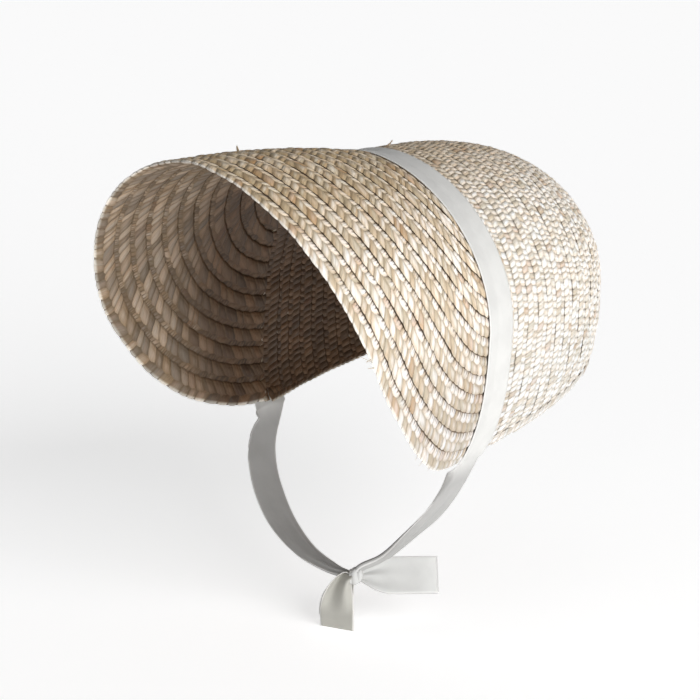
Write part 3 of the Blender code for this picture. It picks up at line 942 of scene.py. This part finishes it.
def fold_height(width, share, folds):
    """Height of lengthwise folds across a ribbon that is squeezed to a width: a sine whose
    size keeps the cloth's full width along its wave."""
    width = np.minimum(width, RIBBON_WIDTH * NEVER_FLAT)
    squeeze = np.sqrt(np.maximum(2.0 * ((RIBBON_WIDTH / width) ** 2 - 1.0), 0.0))
    return width / (2.0 * math.pi * folds) * squeeze * np.sin(2.0 * math.pi * folds * share)


def cloth_tube(points, thickness):
    """A thin closed tube from a cloth's grid: its face, and the same grid behind it."""
    normal = grid_normals(points)
    half = thickness / METRES / 2
    tube = np.concatenate([points + normal * half, (points - normal * half)[:, ::-1]], 1)
    across = np.linspace(-RIBBON_WIDTH / 2, RIBBON_WIDTH / 2, points.shape[1])
    pattern = packed(middle_run(points)[:, None], np.concatenate([across, across[::-1]]), 0.0)
    return tube, pattern, False


def band_grid():
    """The ribbon over the seam, from its front edge on the brim to its back edge."""
    count = int(2 * SEAM_LENGTH / CLOTH_STEP)
    u = np.linspace(-SEAM_LENGTH, SEAM_LENGTH, count + 1)[:, None]
    angle = np.sign(u) * np.interp(np.abs(u), ARC_LENGTH, ANGLE)
    _, outward = seam(u)
    front = BAND_FRONT_TOP + (BAND_FRONT_END - BAND_FRONT_TOP) * np.abs(u) / SEAM_LENGTH
    back = front - np.linspace(0.0, RIBBON_WIDTH, CLOTH_ACROSS)
    on_brim = brim_point(u + np.zeros_like(back), np.maximum(back, 0.0))
    on_crown = crown_point(np.maximum(-back, 0.0), angle + np.zeros_like(back))
    surface = np.where((back > 0.0)[..., None], on_brim, on_crown)
    return surface + RIBBON_LIFT * outward


def tie_grid(table, first, folds):
    """A tie from the band's end row to the knot, squeezed into lengthwise folds. Its front third
    turns inwards along a crease, more and more towards the knot."""
    centre = first.mean(0)
    front = unit(first[0] - first[-1])
    rows = smooth_table(((*centre, *front, RIBBON_WIDTH),) + table, CLOTH_STEP)
    front = unit(rows[:, 3:6])
    path = unit(np.gradient(rows[:, :3], axis=0))
    normal = unit(np.cross(path, front))
    inward = normal * np.sign(centre[0])
    share = np.linspace(0.0, 1.0, CLOTH_ACROSS)
    width = rows[:, 6:7]
    rise = fold_height(width, share, folds)
    run = running_length(*rows[:, :3].T)[:, None]
    grown = np.clip(run / CREASE_WITHIN, 0.0, 1.0)
    turn = np.radians(CREASE_START * grown + (CREASE_END - CREASE_START) * run / run[-1])
    crease = CREASE_AT * grown * np.clip(1.0 - run / CREASE_OUT, 0.0, 1.0)
    past = np.maximum(crease - share, 0.0) * width
    along = width * (0.5 - np.maximum(share, crease)) + past * np.cos(turn)
    return (rows[:, None, :3] + front[:, None] * along[..., None]
            + normal[:, None] * rise[..., None] + inward[:, None] * (past * np.sin(turn))[..., None])


def bow_axes():
    """Unit vectors of the bow: out along its loop, and across its thickness."""
    turn = math.radians(BOW_TURN)
    out = np.array([math.cos(turn), math.sin(turn), 0.0])
    return out, np.array([math.sin(turn), -math.cos(turn), 0.0])


def gathered(distance, full_at):
    """Ribbon width at a distance from the knot: narrow in the knot, full at full_at."""
    ease = np.sin(np.clip(distance / full_at, 0.0, 1.0) * math.pi / 2)
    return GATHERED_WIDTH + (RIBBON_WIDTH - GATHERED_WIDTH) * ease


def loop_grid():
    """Teardrop loop: out from the knot, round its end and back, its width upright and tilted,
    with folds from the squeeze and a pleat that fades from the knot."""
    out, across = bow_axes()
    t = np.linspace(-1.0, 1.0, LOOP_STATIONS)
    beyond = (LOOP_REACH - LOOP_START) * (1.0 - np.abs(t) ** LOOP_ROUND)
    half = LOOP_MOUTH + (LOOP_OPEN - LOOP_MOUTH) * np.sin(np.abs(t) * math.pi)
    swell = np.sign(t) * half * np.minimum(1.0, np.abs(t) * LOOP_SPREAD)
    tilt = math.radians(LOOP_TILT)
    upright = np.array([0.0, 0.0, math.cos(tilt)]) + math.sin(tilt) * across
    across = math.cos(tilt) * across - np.array([0.0, 0.0, math.sin(tilt)])
    centre = KNOT + (LOOP_START + beyond)[:, None] * out + swell[:, None] * across
    centre[:, 2] -= LOOP_DROP * beyond / (LOOP_REACH - LOOP_START)
    beyond = beyond[:, None]
    share = np.linspace(0.0, 1.0, CLOTH_ACROSS)
    width = gathered(beyond, FULL_WIDTH_AT)
    pleat = LOOP_PLEAT * np.minimum(beyond / LOOP_PLEAT_START, 1.0) * np.exp(-beyond / LOOP_PLEAT_FADE)
    rise = (LOOP_FOLD_SHARE * fold_height(width, share, LOOP_FOLDS)
            + pleat * np.sin(LOOP_PLEAT_TURN * share + LOOP_PLEAT_PHASE))
    return (centre[:, None] + (width * (0.5 - share))[..., None] * upright
            + rise[..., None] * across)


def tail_grid(start, first_bend, second_bend, end, turn, phase):
    """A hanging tail on a cubic curve: folded lengthwise in the knot, opening to its flat end."""
    axes = np.array([*bow_axes(), (0.0, 0.0, 1.0)])
    a, b, c, d = np.array((start, first_bend, second_bend, end)) @ axes + KNOT
    share = np.linspace(0.0, 1.0, TAIL_STATIONS)[:, None]
    rest = 1.0 - share
    centre = rest ** 3 * a + 3 * rest ** 2 * share * b + 3 * rest * share ** 2 * c + share ** 3 * d
    run = running_length(*centre.T)[:, None]
    path = unit(np.gradient(centre, axis=0))
    angle = math.radians(turn) * share
    side = np.cos(angle) * axes[0] + np.sin(angle) * axes[1]
    side = unit(side - path * np.sum(side * path, axis=1, keepdims=True) * rest)
    width = gathered(run, TAIL_FULL_AT)
    across = np.linspace(0.0, 1.0, CLOTH_ACROSS)
    depth = np.abs(fold_height(width, TAIL_FOLD_CREST, TAIL_FOLDS))
    fold = depth * np.cos(2.0 * math.pi * TAIL_FOLDS * across + phase)
    return (centre[:, None] + (width * (across - 0.5))[..., None] * side[:, None]
            + fold[..., None] * axes[1])


def knot_tube():
    """The knot: a ring of pleats round the bow's axis, its radius an oval box's. The pleats
    wander in two waves round it, and its ends slant."""
    out, across = bow_axes()
    turn = np.linspace(0.0, 2.0 * math.pi, KNOT_SIDES, endpoint=False)
    t = np.linspace(-KNOT_CLOSED, KNOT_CLOSED, KNOT_STATIONS)[:, None]
    box = np.maximum(1.0 - np.abs(t) ** KNOT_POWER, 0.0) ** (1 / KNOT_POWER)
    oval = np.abs(np.cos(turn)) ** KNOT_POWER + np.abs(np.sin(turn)) ** KNOT_POWER
    wander = KNOT_WANDERS[0] * np.sin(turn + KNOT_PHASE) + KNOT_WANDERS[1] * np.sin(3.0 * turn)
    pleats = KNOT_PLEAT_DEPTH * np.abs(np.cos(KNOT_PLEATS * t + wander)) ** PLEAT_ROUND
    radius = box * oval ** (-1 / KNOT_POWER) * (KNOT_CORE + pleats)
    length = t * KNOT_HALF[0] * KNOT_NARROWED + KNOT_SLANT * np.sin(turn)
    points = (KNOT + length[..., None] * out
              + (radius * np.cos(turn) * KNOT_HALF[1])[..., None] * across
              + (radius * np.sin(turn) * KNOT_HALF[2])[..., None] * np.array([0.0, 0.0, 1.0]))
    return points, packed(turn * KNOT_HALF[2], t * RIBBON_WIDTH / 2, 0.0), False


def number_setting(name, description, default, **more):
    """A number that a user can change."""
    return bpy.props.FloatProperty(name=name, description=description, default=default, **more)


def length_setting(name, description, metres):
    """A length that a user can change."""
    return number_setting(name, description, metres, unit="LENGTH")


def angle_setting(name, description, degrees):
    """An angle that a user can change."""
    return number_setting(name, description, math.radians(degrees), subtype="ANGLE")


def colour_setting(name, description, *levels):
    """A colour that a user can change."""
    return bpy.props.FloatVectorProperty(
        name=name, description=description, default=(*levels, 1.0), subtype="COLOR", size=4)


class StrawSettings(bpy.types.PropertyGroup):
    brim_cell: length_setting("Brim plait", "Length of one plait along the brim's rows", 0.0062)
    crown_cell: length_setting("Crown plait", "Length of one plait along the crown's rows", 0.0038)
    relief: length_setting("Relief", "Height of a splint over the gaps beside it", 0.0007)
    scallop: length_setting("Scallop", "How far a row's edge goes in and out", 0.0006)
    light_colour: colour_setting("Light straw", "Colour of the palest splints", 0.86, 0.79, 0.67)
    shade_colour: colour_setting("Dull straw", "Colour of the dullest splints", 0.56, 0.47, 0.33)
    tan_colour: colour_setting("Tan straw", "Colour of the few sunburnt splints", 0.45, 0.24, 0.09)
    tan_share: number_setting("Tan share", "Share of the splints that are tan", 0.04)
    # Painted highlight on the crests of splints and on the brim's front edge
    crest_highlight_colour: colour_setting("Crests", "Colour of the polished crest of a splint", 0.95, 0.92, 0.87)
    # Painted shade deep inside the hat
    deep_shade_colour: colour_setting("Deep inside", "Tint of the straw deep inside the hat", 0.13, 0.075, 0.04)
    # Painted shade in the gaps between splints and under the next row
    gap_shade_colour: colour_setting("Gaps", "Colour of the gaps between splints", 0.12, 0.07, 0.03)


class RibbonSettings(bpy.types.PropertyGroup):
    thickness: length_setting("Thickness", "Thickness of the ribbon's cloth", 0.0004)
    thread_spacing: length_setting("Thread spacing", "Distance from one thread to the next", 0.0005)
    band_colour: colour_setting("Band", "Colour of the ribbon over the hat", 0.69, 0.685, 0.665)
    # Ties, loop and tails take darker copies of the band colour: painted shade
    tie_shaded_colour: colour_setting("Ties", "Colour of the ribbon below the hat's rim", 0.42, 0.415, 0.405)
    loop_shaded_colour: colour_setting("Loop", "Colour of the knot and the loop", 0.60, 0.60, 0.585)
    tail_shaded_colour: colour_setting("Tails", "Colour of the bow's hanging ends", 0.43, 0.42, 0.38)
    patches: number_setting("Patches", "How dark the ribbon's uneven patches are, 1 for none", 0.93)
    # Height below which the ties take their painted shade, and the height over which it fades in
    shade_from: length_setting("Low part", "Height under which the ribbon takes its lower colour", -0.148)
    shade_fade: length_setting("Fade", "Height over which the colours change", 0.016)


class StudioSettings(bpy.types.PropertyGroup):
    floor_colour: colour_setting("Floor", "Colour of the floor and backdrop", 0.95, 0.95, 0.955)
    floor_glow: number_setting("Floor glow", "Light that the floor gives off itself", 0.57)
    key_power: number_setting("Key light", "Strength of the broad soft light from the side", 3.0)
    key_azimuth: angle_setting("Key azimuth", "Side that the key light comes from", 84.0)
    key_elevation: angle_setting("Key elevation", "Height of the key light over the horizon", 16.0)
    key_softness: angle_setting("Softness", "Angle over which the lights are spread", 50.0)
    fill_power: number_setting("Fill light", "Strength of the weak light from the camera", 0.42)
    sky: number_setting("Surround", "Brightness of the even light all round", 0.22)
    azimuth: angle_setting("Azimuth", "Turn of the camera round the hat", 45.1)
    elevation: angle_setting("Elevation", "Height of the camera over the horizon", 16.0)
    roll: angle_setting("Roll", "Roll of the camera", -1.0)
    distance: length_setting("Distance", "Distance of the camera from its target", 1.404)
    target: bpy.props.FloatVectorProperty(
        name="Target", description="Point in the middle of the picture",
        default=(0.0089, -0.0322, -0.0993), subtype="TRANSLATION")
    picture_scale: number_setting("Picture scale", "Pixels for each metre at the target", 1850.0)


class BONNET_OT_brim(bpy.types.Operator):
    """Brim of plaited rows, in three pieces, in place of the brim's solid"""
    bl_idname = "bonnet.brim"
    bl_label = "Brim"

    def execute(self, context):
        straw = context.scene.bonnet_straw
        material = straw_material("Plaited straw, brim", straw, FINISHES["brim"])
        for name, first, last in BRIM_PIECES:
            rows = [brim_row(row, straw) for row in range(first, last)]
            piece = add_piece(name, rows, material)
            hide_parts("brim")
        return {"FINISHED"}


class BONNET_OT_crown(bpy.types.Operator):
    """Crown of plaited rows with a bound nape edge, in place of the crown's solid"""
    bl_idname = "bonnet.crown"
    bl_label = "Crown"

    def execute(self, context):
        straw = context.scene.bonnet_straw
        material = straw_material("Plaited straw, crown", straw, FINISHES["crown"])
        for name, first, last in CROWN_PIECES:
            rows = [crown_row(row, straw) for row in range(first, last)]
            piece = add_piece(name, rows, material)
            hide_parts("crown")
        add_piece("nape_binding", [nape_binding(straw)], material)
        add_piece("loose_straws", loose_straws(straw), material)
        return {"FINISHED"}


class BONNET_OT_ribbon(bpy.types.Operator):
    """One length of ribbon over the seam and down both sides to the knot"""
    bl_idname = "bonnet.ribbon"
    bl_label = "Ribbon"

    def execute(self, context):
        cloth = context.scene.bonnet_ribbon
        material = cloth_material("Ribbon cloth", cloth, cloth.band_colour, cloth.tie_shaded_colour)
        band = band_grid()
        right = tie_grid(RIGHT_TIE, band[0], RIGHT_TIE_FOLDS)[1:]
        left = tie_grid(LEFT_TIE, band[-1], LEFT_TIE_FOLDS)[1:]
        grid = np.vstack([right[::-1], band, left])
        piece = add_piece("ribbon", [cloth_tube(grid, cloth.thickness)], material)
        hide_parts("ribbon_band", "ribbon_tie_left", "ribbon_tie_right")
        return {"FINISHED"}


class BONNET_OT_bow(bpy.types.Operator):
    """Knot, loop and tails of the bow"""
    bl_idname = "bonnet.bow"
    bl_label = "Bow"

    def execute(self, context):
        cloth = context.scene.bonnet_ribbon
        # The knot, loop and tails use darker copies of the ribbon colour: painted shade
        bow_cloth = cloth_material("Ribbon cloth, bow", cloth, cloth.loop_shaded_colour, cloth.loop_shaded_colour)
        end_cloth = cloth_material("Ribbon cloth, ends", cloth, cloth.tail_shaded_colour, cloth.tail_shaded_colour)
        knot = add_piece("bow_knot_wrap", [knot_tube()], bow_cloth)
        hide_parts("bow_knot")
        parts = {"bow_loop": (loop_grid(), bow_cloth)}
        parts.update({name: (tail_grid(*line), end_cloth) for name, line in TAILS.items()})
        for name, (grid, material) in parts.items():
            tube = cloth_tube(grid, cloth.thickness)
            piece = add_piece(name + "_cloth", [tube], material)
            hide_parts(name)
        return {"FINISHED"}


class BONNET_OT_studio(bpy.types.Operator):
    """Pale floor, soft lights and the camera"""
    bl_idname = "bonnet.studio"
    bl_label = "Studio"

    def execute(self, context):
        studio = context.scene.bonnet_studio
        low = min(SOLID_BOX[0][2], SOLID_BOX[1][2])
        mesh = bpy.data.meshes.new("floor")
        corners = [(x * FLOOR_HALF, y * FLOOR_HALF, low) for x, y in ((-1, -1), (1, -1), (1, 1), (-1, 1))]
        mesh.from_pydata(corners, [], [(0, 1, 2, 3)])
        mesh.materials.append(floor_material(studio))
        floor = bpy.data.objects.new("floor", mesh)
        context.scene.collection.objects.link(floor)
        world = bpy.data.worlds.new("Soft surround")
        self.wire_surround(Wiring(world, "Background"), studio.sky)
        context.scene.world = world
        for name, azimuth, elevation, power in (
                ("key_light", studio.key_azimuth, studio.key_elevation, studio.key_power),
                ("fill_light", studio.azimuth, studio.elevation, studio.fill_power)):
            light = bpy.data.lights.new(name, "SUN")
            light.energy = power
            light.angle = studio.key_softness
            self.add_turned(context, name, light, self.turn(azimuth, elevation))
        self.add_camera(context, studio)
        context.scene.view_settings.view_transform = "Standard"
        return {"FINISHED"}

    def wire_surround(self, make, sky):
        """An even light that is weaker from above than from the sides."""
        height = make.split(make.place("Generated"))[2]
        top = sky * SURROUND_TOP_SHARE
        make.set(Color=WHITE, Strength=make.node("MapRange", height, 0.0, SURROUND_TOP, sky, top))

    def turn(self, azimuth, elevation):
        """Turn of a thing that looks at the hat from an azimuth, 0 in front of the hat and
        growing to its left, and from a height over the horizon."""
        return Euler((math.pi / 2 - elevation, 0.0, azimuth)).to_matrix()

    def add_turned(self, context, name, data, turned):
        """A new object that is turned by a matrix."""
        thing = bpy.data.objects.new(name, data)
        thing.rotation_euler = turned.to_euler()
        context.scene.collection.objects.link(thing)
        return thing

    def add_camera(self, context, studio):
        """A camera that sees the target in its middle, from a distance along its own axis."""
        data = bpy.data.cameras.new("camera")
        data.sensor_width = SENSOR
        data.lens = studio.picture_scale * studio.distance / IMAGE_SIZE * SENSOR
        roll = Matrix.Rotation(studio.roll, 3, "Z")
        turned = self.turn(studio.azimuth, studio.elevation) @ roll
        camera = self.add_turned(context, "camera", data, turned)
        camera.location = Vector(studio.target) + studio.distance * turned.col[2]
        context.scene.camera = camera


class BONNET_PT_panel(bpy.types.Panel):
    """Steps and settings of the bonnet"""
    bl_idname = "BONNET_PT_panel"
    bl_label = "Straw bonnet"
    bl_space_type = "VIEW_3D"
    bl_region_type = "UI"
    bl_category = "Bonnet"

    def draw(self, context):
        for group_name, settings in GROUPS.items():
            box = self.layout.box()
            for name in settings.__annotations__:
                box.prop(getattr(context.scene, group_name), name)
        for step in STEPS:
            self.layout.operator(step.bl_idname)


GROUPS = {
    "bonnet_straw": StrawSettings,
    "bonnet_ribbon": RibbonSettings,
    "bonnet_studio": StudioSettings,
}
STEPS = (BONNET_OT_brim, BONNET_OT_crown, BONNET_OT_ribbon, BONNET_OT_bow, BONNET_OT_studio)


def register():
    for item in (*GROUPS.values(), *STEPS, BONNET_PT_panel):
        bpy.utils.register_class(item)
    for name, group in GROUPS.items():
        setattr(bpy.types.Scene, name, bpy.props.PointerProperty(type=group))


def unregister():
    for name in GROUPS:
        delattr(bpy.types.Scene, name)
    for item in (BONNET_PT_panel, *reversed(STEPS), *reversed(GROUPS.values())):
        bpy.utils.unregister_class(item)


def main():
    register()
    bpy.ops.bonnet.brim()
    bpy.ops.bonnet.crown()
    bpy.ops.bonnet.ribbon()
    bpy.ops.bonnet.bow()
    bpy.ops.bonnet.studio()


if __name__ == "__main__":
    main()
